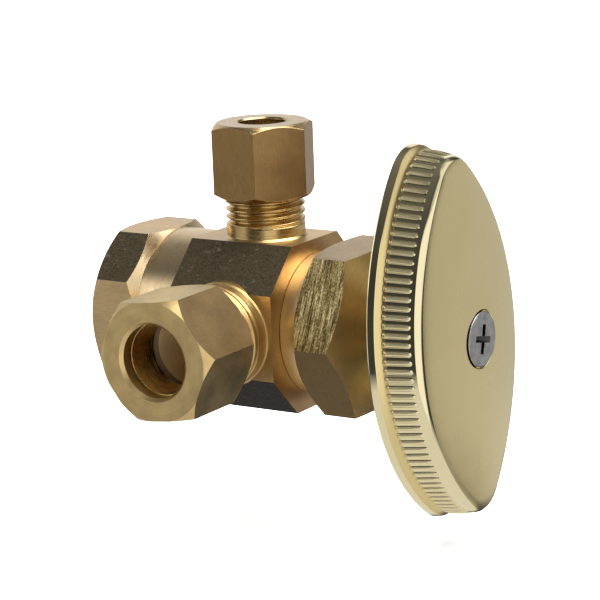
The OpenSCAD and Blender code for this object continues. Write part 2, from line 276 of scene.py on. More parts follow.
# axis and centre of the two outlets, and the way the drawn lines run on a flat
Y_PORT, Z_PORT = {"axis": 1, "centre": (PORT, 0, 0)}, {"axis": 2, "centre": (PORT, 0, 0)}
ROUND_Y, ROUND_X = (1.5, 0.3, 1.5), (1.6, 0.3, 0.3)
M = {
    "flat": brass_flat("body_flat", (0.63, 0.45, 0.23), along=(0.25, 1.6, 1.6)),
    "scale": brass_scale("body_scale", 0.55),
    # painted shade: the lower narrow flats get a far darker copy of the same scale (level 0.12 against 0.55)
    "scale_painted_shade": brass_scale("body_scale_painted_shade", 0.12),
    "turned_x": brass_turned("body_turned", (0.47, 0.305, 0.135), rings=0.3, rough=(0.26, 0.38), stain=0.25),
    "neck": brass_turned("body_neck", (0.76, 0.58, 0.34), rings=0.3, rough=(0.24, 0.34), stain=0.2),
    "turned_y": brass_turned("outlet_38_turned", (0.58, 0.39, 0.155), **Y_PORT, rings=0.7,
                             rough=(0.32, 0.44)),
    "turned_z": brass_turned("outlet_14_turned", (0.64, 0.45, 0.19), **Z_PORT),
    "marks": brass_marks("bonnet_rough_flat"),
    # painted shade: the lower front flat and the bottom flat get a far darker copy of the plain bonnet flat
    "plain_painted_shade": brass_flat("bonnet_lower_flat_painted_shade", (0.168, 0.108, 0.040), along=ROUND_X, rough=(0.42, 0.55)),
    "plain": brass_flat("bonnet_flat", (0.46, 0.35, 0.22), along=ROUND_X, rough=(0.42, 0.55)),
    "cone": brass_turned("bonnet_cone", (0.62, 0.46, 0.24), rings=0.5, rough=(0.32, 0.45)),
    "collar": brass_turned("bonnet_collar", (0.86, 0.66, 0.36), rings=0.4, rough=(0.34, 0.44), stain=0.15),
    "nut38": brass_flat("nut_38_flat", (0.60, 0.47, 0.235), along=ROUND_Y, rough=(0.36, 0.50)),
    # painted shade: two flats of the large nut get darker copies of the nut's brass, this one much darker,
    # the next one less so
    "nut38_upper_painted_shade": brass_flat("nut_38_upper_flat_painted_shade", (0.235, 0.16, 0.077), 2.0, along=ROUND_Y,
                             rough=(0.42, 0.56)),
    "nut38_lower_painted_shade": brass_flat("nut_38_lower_flat_painted_shade", (0.40, 0.29, 0.14), along=ROUND_Y, rough=(0.36, 0.50)),
    "nut38_turn": brass_turned("nut_38_turned", (0.72, 0.52, 0.235), **Y_PORT, rings=0.22,
                               rough=(0.30, 0.42)),
    "nut14": brass_flat("nut_14_flat", (0.35, 0.215, 0.085), along=(1.5, 1.5, 0.3), rough=(0.36, 0.50)),
    "nut14_turn": brass_turned("nut_14_turned", (0.52, 0.37, 0.18), **Z_PORT, rings=0.6),
    "sleeve38": brass_turned("sleeve_38_turned", (0.74, 0.52, 0.20), **Y_PORT, rings=0.4, stain=0.1),
    "sleeve14": brass_turned("sleeve_14_turned", (0.74, 0.52, 0.20), **Z_PORT, rings=0.4, stain=0.1),
    "inner": brass_turned("bore", (0.50, 0.33, 0.13), rough=(0.3, 0.45)),
    "socket": brass_turned("tube_socket", (0.75, 0.56, 0.29), **Y_PORT, rings=0.1, rough=(0.35, 0.45),
                           stain=0.1, metal=0.1),
    # painted shade: a dark copy of the socket brass for the socket floor and the neck end inside the nut
    "painted_shade_in_socket": brass_turned("painted_shade_socket_end", (0.20, 0.145, 0.075), **Y_PORT, rings=0.2, rough=(0.5, 0.6),
                         stain=0.1, metal=0.1),
    "stem": brass_turned("stem_turned", (0.66, 0.48, 0.22), rings=0.6),
    "gold": gold("handle_side"),
    # painted reflection: the fillet gets a deeper, more saturated copy of the side plating, standing in for
    # light bounced inside the curve
    "gold_fillet": gold("handle_fillet", tint=(0.80, 0.64, 0.30), rough=(0.28, 0.36)),
    # painted highlight: the ribs get a paler, brighter copy of the side plating; their higher roughness is
    # the material's own
    "gold_rib": gold("handle_rib", tint=(1.0, 0.87, 0.53), rough=(0.42, 0.50)),
    "face": gold("handle_face", True, (0.80, 0.67, 0.35), (0.22, 0.30)),
    "steel": steel("screw_steel", 0.92),
    # painted shade: the walls of the cross recess get a much darker copy of the screw steel
    "recess": steel("screw_recess", 0.22),
    "rubber": rubber("seal_rubber", (0.018, 0.018, 0.018)),
    "fibre": rubber("gasket_fibre", (0.16, 0.03, 0.022)),
}


# ------------------------------------------------------------------ mesh helpers
def obj_from(name, verts, faces, mats, index=None, smooth=True):
    me = bpy.data.meshes.new(name)
    me.from_pydata([Vector(v) * MM for v in verts], [], faces)
    for m in mats:
        me.materials.append(M[m])
    if index:
        me.polygons.foreach_set("material_index", index)
    o = bpy.data.objects.new(name, me)
    bpy.context.scene.collection.objects.link(o)
    tidy(o, smooth)
    return o


def tidy(o, smooth=True, merge=0.0000005):
    bm = bmesh.new()
    bm.from_mesh(o.data)
    bmesh.ops.remove_doubles(bm, verts=bm.verts, dist=merge)
    bmesh.ops.recalc_face_normals(bm, faces=bm.faces)
    for f in bm.faces:
        f.smooth = smooth
    bm.to_mesh(o.data)
    bm.free()
    o.data.update()


def sharp(o, degrees):
    """Edges steeper than this stay crisp."""
    bm = bmesh.new()
    bm.from_mesh(o.data)
    lim = math.radians(degrees)
    for e in bm.edges:
        e.smooth = not (len(e.link_faces) == 2 and e.calc_face_angle(0) > lim)
    bm.to_mesh(o.data)
    bm.free()


def fillet(path, r, closed=True, seg=4):
    """Rounds every corner of an (r, t) path by at most r."""
    out = []
    n = len(path)
    for i, p in enumerate(path):
        if not closed and i in (0, n - 1):
            out.append(p)
            continue
        a, b, c = Vector(path[i - 1]), Vector(p), Vector(path[(i + 1) % n])
        d0, d1 = a - b, c - b
        rr = min(r, d0.length * 0.45, d1.length * 0.45)
        if rr < 1e-5 or p[0] < 1e-6 or d0.angle(d1) > math.radians(172):
            out.append(p)
            continue
        p0, p1 = b + d0.normalized() * rr, b + d1.normalized() * rr
        for k in range(seg + 1):
            s = k / seg
            q = p0 * (1 - s) ** 2 + b * 2 * s * (1 - s) + p1 * s * s
            out.append((q.x, q.y))
    return out


AXES = {
    "x": lambda r, t, a: (t, r * math.cos(a), r * math.sin(a)),
    "y": lambda r, t, a: (PORT + r * math.cos(a), -t, r * math.sin(a)),
    "z": lambda r, t, a: (PORT + r * math.cos(a), r * math.sin(a), t),
}


def lathe(name, path, axis, mats, n=160, round_r=0.08, closed=True, index=None):
    """Turned piece from an (r, t) path. index(r, t) gives the material at the middle of each band."""
    path = fillet(path, round_r, closed) if round_r else path
    verts, rings, faces, idx = [], [], [], []
    put = AXES[axis]
    for r, t in path:
        if r < 1e-6:
            rings.append([len(verts)])
            verts.append(put(0, t, 0))
        else:
            rings.append(list(range(len(verts), len(verts) + n)))
            verts += [put(r, t, TAU * k / n) for k in range(n)]
    m = len(path)
    for i in range(m if closed else m - 1):
        a, b = rings[i], rings[(i + 1) % m]
        if len(a) == 1 and len(b) == 1:
            continue
        (r0, t0), (r1, t1) = path[i], path[(i + 1) % m]
        band = index(0.5 * (r0 + r1), 0.5 * (t0 + t1)) if index else 0
        for k in range(n):
            j = (k + 1) % n
            if len(a) == 1:
                faces.append((a[0], b[k], b[j]))
            elif len(b) == 1:
                faces.append((a[k], b[0], a[j]))
            else:
                faces.append((a[k], b[k], b[j], a[j]))
            idx.append(band)
    return obj_from(name, verts, faces, mats, idx)


def prism(name, corners, t0, t1, axis, mats, index=None):
    """Straight bar with the given corner points, from t0 to t1 along the axis."""
    def put(c, t):
        return {"x": (t, c[0], c[1]), "y": (PORT + c[0], -t, c[1]), "z": (PORT + c[0], c[1], t)}[axis]
    n = len(corners)
    verts = [put(c, t0) for c in corners] + [put(c, t1) for c in corners]
    faces = [(i, (i + 1) % n, n + (i + 1) % n, n + i) for i in range(n)]
    faces += [tuple(range(n)), tuple(range(n, 2 * n))]
    return obj_from(name, verts, faces, mats, (index or [0] * n) + [0, 0], smooth=False)


def polygon(n, r, start):
    turns = [math.radians(start) + TAU * i / n for i in range(n)]
    return [(r * math.cos(a), r * math.sin(a)) for a in turns]


def boolean(o, other, op="DIFFERENCE"):
    """Applies the cut and removes the cutter."""
    m = o.modifiers.new("b", "BOOLEAN")
    m.operation, m.object, m.solver = op, other, "EXACT"
    bpy.context.view_layer.objects.active = o
    bpy.ops.object.modifier_apply(modifier=m.name)
    bpy.data.objects.remove(other)
    return o


def cutter(path, axis, mats, n, index=0):
    """Turned envelope for boolean(). index is a material number, or a function of (r, t) that gives it."""
    pick = index if callable(index) else (lambda r, t: index)
    return lathe("cut", path, axis, mats, n, 0, False, pick)


def finish_edges(o, width=0.12, limit=22, seg=2):
    """Small rounded edges and even shading on a cut block."""
    tidy(o, True, 0.000002)
    sharp(o, 35)
    m = o.modifiers.new("edges", "BEVEL")
    m.width, m.segments, m.limit_method, m.angle_limit = width * MM, seg, "ANGLE", math.radians(limit)
    m.use_clamp_overlap = True
    m.harden_normals = True
    w = o.modifiers.new("shade", "WEIGHTED_NORMAL")
    w.keep_sharp = False
    w.weight = 80
    return o


def helix(name, major, depth, pitch, t0, t1, axis, mat, n=120, female=False, fade0=0.6, fade1=0.6):
    """True helical thread as one strip grid. The profile fades out at both ends over fade0 and fade1."""
    prof = [(0.00, 0.0), (0.07, 0.0), (0.13, 0.10), (0.25, 0.50), (0.38, 0.90), (0.44, 1.0),
            (0.50, 1.0), (0.56, 1.0), (0.62, 0.90), (0.75, 0.50), (0.87, 0.10), (0.93, 0.0)]
    k = len(prof)
    turns = int((t1 - t0) / pitch) + 3
    put = AXES[axis]
    verts, faces = [], []
    side = -1 if axis == "y" else 1
    for row in range(turns * k + 1):
        u, h = prof[row % k]
        base = t0 - pitch + (row // k + u) * pitch
        for a in range(n + 1):
            ang = TAU * a / n * side
            t = base + pitch * a / n
            c = min(max(t, t0), t1)
            e = min(1.0, (c - t0) / fade0 if fade0 else 1.0, (t1 - c) / fade1 if fade1 else 1.0)
            cut = h if female else 1 - h
            verts.append(put(major - depth * cut * e, c, ang))
    w = n + 1
    for row in range(turns * k):
        for a in range(n):
            i = row * w + a
            faces.append((i, i + 1, i + w + 1, i + w))
    o = obj_from(name, verts, faces, [mat])
    bm = bmesh.new()
    bm.from_mesh(o.data)
    bmesh.ops.dissolve_degenerate(bm, dist=0.000002, edges=bm.edges)
    for f in bm.faces:
        f.smooth = True
    bm.to_mesh(o.data)
    bm.free()
    return o


def place(o, body, slot, *nodes):
    """Puts a finished piece on its body, in the place of the CAD nodes named, which it hides. slot is not
    used.
    """
    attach(o, body)
    if nodes:
        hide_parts(*nodes)
    return o


# ------------------------------------------------------------------ valve body
octagon = [(FLAT_H, FLAT_D), (-FLAT_H, FLAT_D), (-FLAT_D, FLAT_H), (-FLAT_D, -FLAT_H),
           (-FLAT_H, -FLAT_D), (FLAT_H, -FLAT_D), (FLAT_D, -FLAT_H), (FLAT_D, FLAT_H)]
BODY_MATS = ["flat", "scale", "turned_x", "inner", "scale_painted_shade", "neck"]
INNER = BODY_MATS.index("inner")
# wide flats take index 0, upper narrow flats the scale, lower narrow flats (index 4) the darker scale copy as
# painted shade
body = prism("valve_body_block", octagon, -1, BODY_L + 1, "x", BODY_MATS, [0, 1, 0, 4, 0, 4, 0, 1])
envelope = [(0, 0), (11.0, 0), (CORNER_R, 1.97), (CORNER_R, 6.48), (NECK_R, NECK0), (NECK_R, NECK1),
            (CORNER_R, NECK1), (CORNER_R, BODY_L), (0, BODY_L)]
boolean(body, cutter(envelope, "x", BODY_MATS, 256, lambda r, t: 5 if 6.6 < t < 14.1 else 2), "INTERSECT")
inlet = [(0, -2), (11.0, -2), (10.35, 0.0), (INLET_R, 0.9), (INLET_R, INLET_D), (3.3, 15.9), (3.3, SEAT + 1),
         (0, SEAT + 1)]
boolean(body, cutter(inlet, "x", BODY_MATS, 192, INNER))
chamber = [(0, SEAT), (4.5, SEAT), (4.9, 18.0), (7.0, 18.0), (7.0, 25.5), (8.33, 26.3), (8.33, 29.1),
           (9.33, 29.1), (9.33, BODY_L + 1), (0, BODY_L + 1)]
boolean(body, cutter(chamber, "x", BODY_MATS, 160, INNER))
for axis, r in (("y", 5.6), ("z", 4.2)):
    boolean(body, cutter([(0, 4), (r, 4), (r, 14), (0, 14)], axis, BODY_MATS, 96, INNER))
place(finish_edges(body, 0.10), "valve", "body_brass", "valve_body")


# outlet necks: collar, thread core and tube socket turned in one, with the thread cut as a helix
def neck38_look(r, t):
    """Floor of the socket and the end of the neck inside the nut get a dark copy of the socket brass as
    painted shade, the socket wall is bright.
    """
    if r < 4.9 and t < 12.6 or 4.9 < r < 6.3 and t > 19:
        return 2
    return 0 if r > 4.9 else 1


neck38 = [(3.4, 5.0), (3.4, 12.4), (TUBE_38, 12.4), (TUBE_38, 19.9), (6.25, 21.3), (6.5, 21.25), (6.5, 20.4),
          (6.5, 13.3), (7.04, 12.9), (7.04, 11.9), (7.25, 11.6), (7.25, 10.0), (5.7, 5.0)]
place(lathe("outlet_38_neck", neck38, "y", ["turned_y", "socket", "painted_shade_in_socket"], 160, 0.05, True, neck38_look),
      "valve", "body_brass")
place(helix("outlet_38_thread", 7.14, 0.62, PITCH_24, 12.95, 21.25, "y", "turned_y", fade0=4.5, fade1=0.0),
      "valve", "body_brass")
neck14 = [(2.2, 5.0), (2.2, 12.8), (TUBE_14, 12.8), (TUBE_14, 20.3), (4.45, 21.5), (4.86, 21.45),
          (4.86, 20.6), (4.86, 13.8), (5.45, 13.3), (5.45, 11.95), (5.75, 11.6), (5.75, 10.0), (4.4, 5.0)]
place(lathe("outlet_14_neck", neck14, "z", ["turned_z"], 144, 0.05), "valve", "body_brass")
place(helix("outlet_14_thread", 5.5, 0.62, PITCH_24, 13.35, 21.45, "z", "turned_z", fade0=0.5, fade1=0.0),
      "valve", "body_brass")
place(helix("inlet_thread", 10.25, 0.95, PITCH_PIPE, 0.5, 12.3, "x", "inner", 144, female=True, fade0=0.4,
            fade1=0.5), "valve", "body_brass")

# ------------------------------------------------------------------ bonnet
BON = ["marks", "cone", "turned_x", "inner", "plain", "plain_painted_shade"]
# flats 3 and 4 (lower front and bottom) take the darker copy as painted shade
hexa = prism("bonnet_hex", polygon(6, HEX_R, 3.7), 31, 44, "x", BON, [4, 4, 0, 5, 5, 4])
shape = [(0, 31), (8.6, 31), (COLLAR_R, HEX0 - 0.64 * (HEX_R - COLLAR_R)), (HEX_R + 0.2, HEX0 + 0.13),
         (HEX_R + 0.2, HEX1 - 0.09), (SNOUT_R, HEX1 + 0.47 * (HEX_R - SNOUT_R)), (SNOUT_R, 43.9), (0, 43.9)]
boolean(hexa, cutter(shape, "x", BON, 256, lambda r, t: 2 if t < 37 else 1), "INTERSECT")
boolean(hexa, cutter([(0, 30), (5.6, 30), (5.6, 45), (0, 45)], "x", BON, 128, BON.index("inner")))
place(finish_edges(hexa, 0.12), "valve", "bonnet_brass", "bonnet")
core = [(4.65, 26.9), (7.6, 26.9), (8.25, 27.6), (8.25, 29.0), (8.25, BODY_L + 0.02),
        (COLLAR_R, BODY_L + 0.02), (COLLAR_R, 33.4), (SNOUT_R, 35.5), (SNOUT_R, 44.1), (5.7, 44.6),
        (3.65, 44.6), (3.65, 37.8), (4.65, 37.2)]
place(lathe("bonnet_core", core, "x", ["collar"], 192, 0.10), "valve", "bonnet_brass")
gasket = [(8.36, 29.13), (9.28, 29.13), (9.28, 30.38), (8.36, 30.38)]
place(lathe("gasket_ring", gasket, "x", ["fibre"], 128, 0.15), "valve", "fibre", "bonnet_gasket")

# ------------------------------------------------------------------ stem, seals, washer
spindle = [(0, DISC), (5.65, DISC), (5.65, DISC - 1.5), (6.1, DISC - 1.5), (6.3, DISC - 1.3),
           (6.3, DISC + 1.4), (6.0, DISC + 1.7), (3.0, DISC + 1.7), (3.0, 24.4), (4.0, 24.4), (4.0, 33.4),
           (STEM_R, 33.9), (STEM_R, 38.2), (GROOVE_R, 38.2), (GROOVE_R, 39.5), (STEM_R, 39.5), (STEM_R, 40.3),
           (GROOVE_R, 40.3), (GROOVE_R, 41.6), (STEM_R, 41.6), (STEM_R, 46.1), (3.3, 46.4), (0, 46.4)]
place(lathe("stem_turned", spindle, "x", ["stem"], 128, 0.06, False), "spindle", "turned_brass", "stem")
place(helix("stem_thread", 4.6, 0.72, PITCH_STEM, 24.45, 33.4, "x", "stem", 96, fade0=0.5, fade1=0.7),
      "spindle", "turned_brass")
tang = prism("stem_tang", polygon(4, 2.4 * math.sqrt(2), 45 + HANDLE_TURN), 45.4, 53.2, "x", ["stem"])
tang_shape = [(0, 45), (3.2, 45), (3.2, 52.7), (2.7, 53.3), (0, 53.3)]
boolean(tang, cutter(tang_shape, "x", ["stem"], 96), "INTERSECT")
place(finish_edges(tang, 0.08), "spindle", "turned_brass")
ring_path = [(3.07 + 0.55 * math.cos(a * TAU / 24), 0.55 * math.sin(a * TAU / 24)) for a in range(24)]
for name, x in (("stem_o_ring_inner", 38.85), ("stem_o_ring_outer", 40.95)):
    o = lathe(name + "_ring", [(r, t + x) for r, t in ring_path], "x", ["rubber"], 96, 0)
    place(o, "spindle", "rubber", name)
disc = [(1.7, SEAT + 0.02), (5.3, SEAT + 0.02), (5.6, SEAT + 0.32), (5.6, DISC - 0.02), (1.7, DISC - 0.02)]
place(lathe("seat_washer_disc", disc, "x", ["rubber"], 112, 0.12), "washer", "rubber", "seat_washer")
wpath = [(0, SEAT - 1.35), (2.1, SEAT - 1.35), (2.8, SEAT - 0.75), (2.8, SEAT), (1.6, SEAT),
         (1.6, DISC + 5.6), (1.1, DISC + 6.1), (0, DISC + 6.1)]
wscrew = lathe("washer_screw_turned", wpath, "x", ["stem"], 96, 0.06, False)
slot = [(-3.5, -0.4), (3.5, -0.4), (3.5, 0.4), (-3.5, 0.4)]
boolean(wscrew, prism("cut", slot, SEAT - 2, SEAT - 0.7, "x", ["stem"]))
place(finish_edges(wscrew, 0.06, 30), "spindle", "turned_brass", "washer_screw")


# ------------------------------------------------------------------ nuts and sleeves
def comp_nut(name, af, start, t0, t1, axis, back, front, inner, mats, node, flats=None):
    """Hexagon nut turned at both ends. back and front are (face radius, chamfer length)."""
    rc = af / 2 / math.cos(math.radians(30))
    nut = prism(name, polygon(6, rc, start), t0 - 0.5, t1 + 0.5, axis, mats, flats)
    out = [(0, t0), (back[0], t0), (rc + 0.1, t0 + back[1]), (rc + 0.1, t1 - front[1]), (front[0], t1),
           (0, t1)]
    boolean(nut, cutter(out, axis, mats, 224, 1), "INTERSECT")
    boolean(nut, cutter(inner, axis, mats, 160, 2))
    return place(finish_edges(nut, 0.10), node, "nut_brass", node)


# the upper right flat takes the darkest copy and the lower right flat the other darker copy, both painted
# shade
comp_nut("nut_38_hex", 15.875, 6.45, 16.7, 28.35, "y", (7.97, 1.4), (8.07, 1.35),
         [(0, 15), (7.7, 15), (7.7, 16.7), (7.3, 17.3), (7.3, 24.3), (5.9, 25.2), (4.9, 26.5), (4.9, 27.9),
          (5.35, 28.36), (5.8, 29), (0, 29)],
         ["nut38", "nut38_turn", "nut38_turn", "nut38_upper_painted_shade", "nut38_lower_painted_shade"], "nut_38", [3, 0, 0, 0, 0, 4])
comp_nut("nut_14_hex", 12.85, -7.2, 17.2, 27.55, "z", (6.17, 0.83), (6.17, 0.85),
         [(0, 15), (6.0, 15), (6.0, 17.2), (5.65, 17.7), (5.65, 24.2), (4.3, 25.0), (3.3, 26.1), (3.3, 27.3),
          (3.5, 27.56), (3.6, 28), (0, 28)], ["nut14", "nut14_turn", "nut14_turn"], "nut_14")
ring = [(4.80, 21.2), (4.95, 21.2), (5.6, 22.5), (5.6, 24.4), (5.05, 26.2), (4.80, 26.2)]
place(lathe("sleeve_38_ring", ring, "y", ["sleeve38"], 144, 0.12), "sleeve_38", "sleeve_brass", "sleeve_38")
ring = [(3.21, 21.55), (3.38, 21.55), (3.95, 22.8), (3.95, 24.1), (3.45, 25.7), (3.21, 25.7)]
place(lathe("sleeve_14_ring", ring, "z", ["sleeve14"], 128, 0.10), "sleeve_14", "sleeve_brass", "sleeve_14")

# ------------------------------------------------------------------ handle
TURN = Matrix.Rotation(math.radians(HANDLE_TURN), 3, "X")


def lens(a, b, tip, u):
    """Point of the long oval made of four arcs; u runs from 0 to 4, one unit for each arc."""
    c = b - tip
    r = (a * a + c * c - tip * tip) / (2 * (a - tip))
    w = math.atan2(c, r - a)
    k, f = int(u % 4), u % 1
    if k % 2 == 0:
        ang = -w + 2 * w * f
        y, z = a - r + r * math.cos(ang), r * math.sin(ang)
    else:
        ang = w + (math.pi - 2 * w) * f
        y, z = tip * math.cos(ang), c + tip * math.sin(ang)
    return (y, z) if k < 2 else (-y, -z)


STEP = 0.3          # part of the way in from the rim that the step behind the ribs takes


def oval(f, u):
    """Oval between the rim (f = 0) and the face edge (f = 1); the step behind the ribs has an even width."""
    step = min(f, STEP) * (RIM_A - FACE_A)
    g = max(f - STEP, 0) / 0.7
    full = STEP * (RIM_A - FACE_A)
    return lens(RIM_A - f * (RIM_A - FACE_A), RIM_B - step - g * (RIM_B - FACE_B - full),
                RIM_T - step - g * (RIM_T - FACE_T - full), u)


def outward(f, u):
    """Direction that faces away from the axis, square to the oval."""
    (y1, z1), (y2, z2) = oval(f, u - 0.002), oval(f, u + 0.002)
    m = math.hypot(y2 - y1, z2 - z1)
    return (z2 - z1) / m, (y1 - y2) / m


# stations spaced evenly along the middle of the ribs, PER of them to each rib
STEPS, RIB_PITCH, PER = 4000, 1.197, 16
track = [oval(0.44, 4 * i / STEPS) for i in range(STEPS + 1)]
length = [0.0]
for p, q in zip(track, track[1:]):
    length.append(length[-1] + math.hypot(q[0] - p[0], q[1] - p[1]))
RIBS = round(length[-1] / RIB_PITCH)
PITCH = length[-1] / RIBS
stations, j = [], 0
for i in range(RIBS * PER):
    want = length[-1] * i / (RIBS * PER)
    while length[j + 1] < want:
        j += 1
    stations.append(4 * (j + (want - length[j]) / max(length[j + 1] - length[j], 1e-9)) / STEPS)

# side of the handle as rows of (part of the way from rim to face, distance from the back of the rim)
rows = [(0.10, 0.0), (0.045, 0.02), (0.015, 0.07), (0.0, 0.15), (0.008, 0.30), (0.024, 0.60), (0.038, 0.86),
        (0.048, 1.02), (0.060, 1.12), (0.076, 1.19), (0.098, 1.26), (0.126, 1.33), (0.158, 1.40),
        (0.192, 1.48), (0.226, 1.57), (0.258, 1.68), (0.285, 1.80), (0.307, 1.93), (0.325, 2.07),
        (0.338, 2.21), (0.347, 2.34)]
rows += [(0.353 + 0.255 * i / 41, 2.46 + 3.44 * i / 41) for i in range(42)]
rows += [(0.616, 6.00), (0.622, 6.08), (0.628, 6.14), (0.638, 6.20), (0.654, 6.26), (0.678, 6.33),
         (0.710, 6.41), (0.746, 6.49), (0.786, 6.57), (0.830, 6.65), (0.876, 6.72), (0.920, 6.78),
         (0.962, 6.83), (1.0, 6.87)]
G0, G1, GW, GD = 1.92, 5.68, 0.33, 0.28       # ribs: start, end, half width, height
RISE, FALL = 0.45, 1.45                       # lengths over which a rib starts and dies out
verts, faces, idx = [], [], []
n = len(stations)


def add_row(fn):
    """Adds one ring of points, turned to the handle's angle, and returns the number of its first."""
    start = len(verts)
    for i, u in enumerate(stations):
        x, y, z = fn(i, u)
        v = TURN @ Vector((0, y, z))
        verts.append((x, v.y, v.z))
    return start


def rib(x, i):
    """Height of a rounded rib at distance x from the back of the rim, station i."""
    q = abs((i % PER) / PER - 0.5) * PITCH
    d = math.hypot(q, max(0.0, x - (G1 - GW)))
    if d >= GW or x <= G0:
        return 0.0
    r = (GW * GW + GD * GD) / (2 * GD)
    end = max(0.0, (x - (G1 - FALL)) / FALL)
    rise = min(1.0, (x - G0) / RISE)
    return (math.sqrt(r * r - d * d) - r + GD) * rise * (1 - 0.62 * end ** 1.5)


def join(a, b, kind, flip=False):
    """Quads between two rings. kind(i, j) gives the material between stations i and j."""
    for i in range(n):
        j = (i + 1) % n
        faces.append((a + i, a + j, b + j, b + i) if flip else (a + i, b + i, b + j, a + j))
        idx.append(kind(i, j))


SIDE, FACE, FILLET, RIB = range(4)            # order of the shell's materials
starts, kinds, depth = [], [], []
for f, x in rows:
    def ribbed(i, u, f=f, x=x):
        y, z = oval(f, u)
        up = rib(x, i)
        if up:
            oy, oz = outward(f, u)
            y, z = y + oy * up, z + oz * up
        return RIM_X + x, y, z
    starts.append(add_row(ribbed))
    # rows in the fillet take the deeper gold copy, a painted reflection
    kinds.append(FILLET if 1.2 < x < 2.4 else SIDE)
    depth.append(x)
DOME = 14                                     # rings from the edge of the face to the countersink
for d in range(1, DOME):
    def dome(i, u, s=1 - d / DOME):
        y, z = lens(FACE_A, FACE_B, FACE_T, u)
        m = math.hypot(y, z)
        rho = s + (1 - s) * LIP_R / m
        return RIM_X + EDGE_D + CROWN * (1 - rho * rho), y * rho, z * rho
    starts.append(add_row(dome))
    kinds.append(FACE)
    depth.append(0.0)
for a, b, k, x in zip(starts, starts[1:], kinds[1:], depth[1:]):
    # stations where a rib stands high take the paler gold copy, a painted highlight
    join(a, b, lambda i, j: RIB if k == SIDE and rib(x, i) > 0.05 and rib(x, j) > 0.05 else k)


def hole_ring(u, r, x):
    """Point of a round ring at depth x, or on the domed face where x is None."""
    y, z = lens(FACE_A, FACE_B, FACE_T, u)
    m = math.hypot(y, z)
    if x is None:
        rho = r / m
        x = RIM_X + EDGE_D + CROWN * (1 - rho * rho)
    return x, r * y / m, r * z / m


# the middle of the dome runs into the countersink for the screw
for r, x in ((LIP_R, None), (3.98, None), (3.90, LIP_X), (3.86, LIP_X - 0.15), (2.3, LIP_X - 2.0),
             (2.3, RIM_X + 3.2)):
    starts.append(add_row(lambda i, u: hole_ring(u, r, x)))
    join(starts[-2], starts[-1], lambda i, j: FACE if r > 3.95 else SIDE)
# hollow back: rim edge, sloping wall, floor
back = [(0.9, 0.02), (1.15, 0.0), (1.4, 0.06), (1.6, 0.25), (2.3, 2.6), (2.9, 4.4), (3.5, 4.95), (4.6, 5.15),
        (7.5, 5.3)]
DEEP_INSET = 5.6                              # further in than this the floor is drawn towards the hub
bstart = [starts[0]]
for inset, x in back:
    def inner(i, u):
        y, z = lens(RIM_A, RIM_B, RIM_T, u)
        oy, oz = outward(0, u)
        k = min(inset, DEEP_INSET)
        y, z = y - oy * k, z - oz * k
        if inset > DEEP_INSET:
            y, z = y * 0.75, z * 0.75
        return RIM_X + x, y, z
    bstart.append(add_row(inner))


def floor_ring(i, u):
    y, z = oval(1, u)
    ang = math.atan2(z, y)
    return RIM_X + 5.3, 4.0 * math.cos(ang), 4.0 * math.sin(ang)


bstart.append(add_row(floor_ring))
for a, b in zip(bstart, bstart[1:]):
    join(a, b, lambda i, j: SIDE, flip=True)
shell = obj_from("handle_shell", verts, faces, ["gold", "face", "gold_fillet", "gold_rib"], idx)
sharp(shell, 76)
place(shell, "spindle", "handle_plating", "handle")
hub = [(3.35, RIM_X - 0.7), (5.0, RIM_X - 0.7), (5.4, RIM_X - 0.3), (5.7, RIM_X + 5.5), (3.35, RIM_X + 5.5)]
place(lathe("handle_hub", hub, "x", ["gold"], 96, 0.1), "spindle", "handle_plating")
for name, s in (("handle_web_down", -1), ("handle_web_up", 1)):
    pts = [(-0.95, s * 5.2), (0.95, s * 5.2), (0.7, s * (FACE_B - 3.2)), (-0.7, s * (FACE_B - 3.2))]
    pts = [tuple((TURN @ Vector((0, y, z))).yz) for y, z in pts]
    web = prism(name, pts, RIM_X + 1.6, RIM_X + 5.5, "x", ["gold"])
    place(finish_edges(web, 0.25, 30, 3), "spindle", "handle_plating")

# ------------------------------------------------------------------ handle screw
head = [(0, 44.6), (1.5, 44.6), (2.05, 45.2), (2.05, HEAD_X - 2.13), (3.68, HEAD_X - 0.2),
        (3.74, HEAD_X - 0.05), (3.60, HEAD_X + 0.06), (2.4, HEAD_X + 0.12), (0, HEAD_X + 0.17)]
scr = lathe("handle_screw_head", head, "x", ["steel", "recess"], 160, 0.05, False)
CROSS_TURN = -12
CROSS = ((HEAD_X - 1.9, 0.22, 0.90), (HEAD_X + 0.4, 0.46, 2.15))     # depth, half width, half length
BOX = [(0, 1, 2, 3), (4, 5, 6, 7), (0, 1, 5, 4), (1, 2, 6, 5), (2, 3, 7, 6), (3, 0, 4, 7)]
# the cross's walls take the dark steel copy, painted shade in the recess
for k in (0, 90):
    ang = math.radians(k + CROSS_TURN)
    q = []
    for x, w, l in CROSS:
        for sy, sz in ((-1, -1), (1, -1), (1, 1), (-1, 1)):
            y, z = sy * w, sz * l
            q.append((x, y * math.cos(ang) - z * math.sin(ang), y * math.sin(ang) + z * math.cos(ang)))
    boolean(scr, obj_from("cut", q, BOX, ["steel", "recess"], [1] * 6, False))
place(finish_edges(scr, 0.05, 28), "spindle", "screw_steel", "handle_screw")

# ------------------------------------------------------------------ studio
FLOOR_Z = -0.0300                    # metres
AZ, EL, ROLL, DIST, LENS = 32.56, 12.78, -2.17, 0.34393, 149.57      # camera fitted to the photo
TARGET = Vector((PORT + 5.06, 0, 2.80)) * MM


def area(name, loc, aim, size, power):
    """Rectangular lamp at loc that faces aim."""
    d = bpy.data.lights.new(name, "AREA")
    d.shape, d.size, d.size_y, d.energy = "RECTANGLE", size[0], size[1], power
    o = bpy.data.objects.new(name, d)
    bpy.context.scene.collection.objects.link(o)
    o.location = loc
    o.rotation_mode = "QUATERNION"
    o.rotation_quaternion = (Vector(aim) - Vector(loc)).to_track_quat("-Z", "Y")
    return o


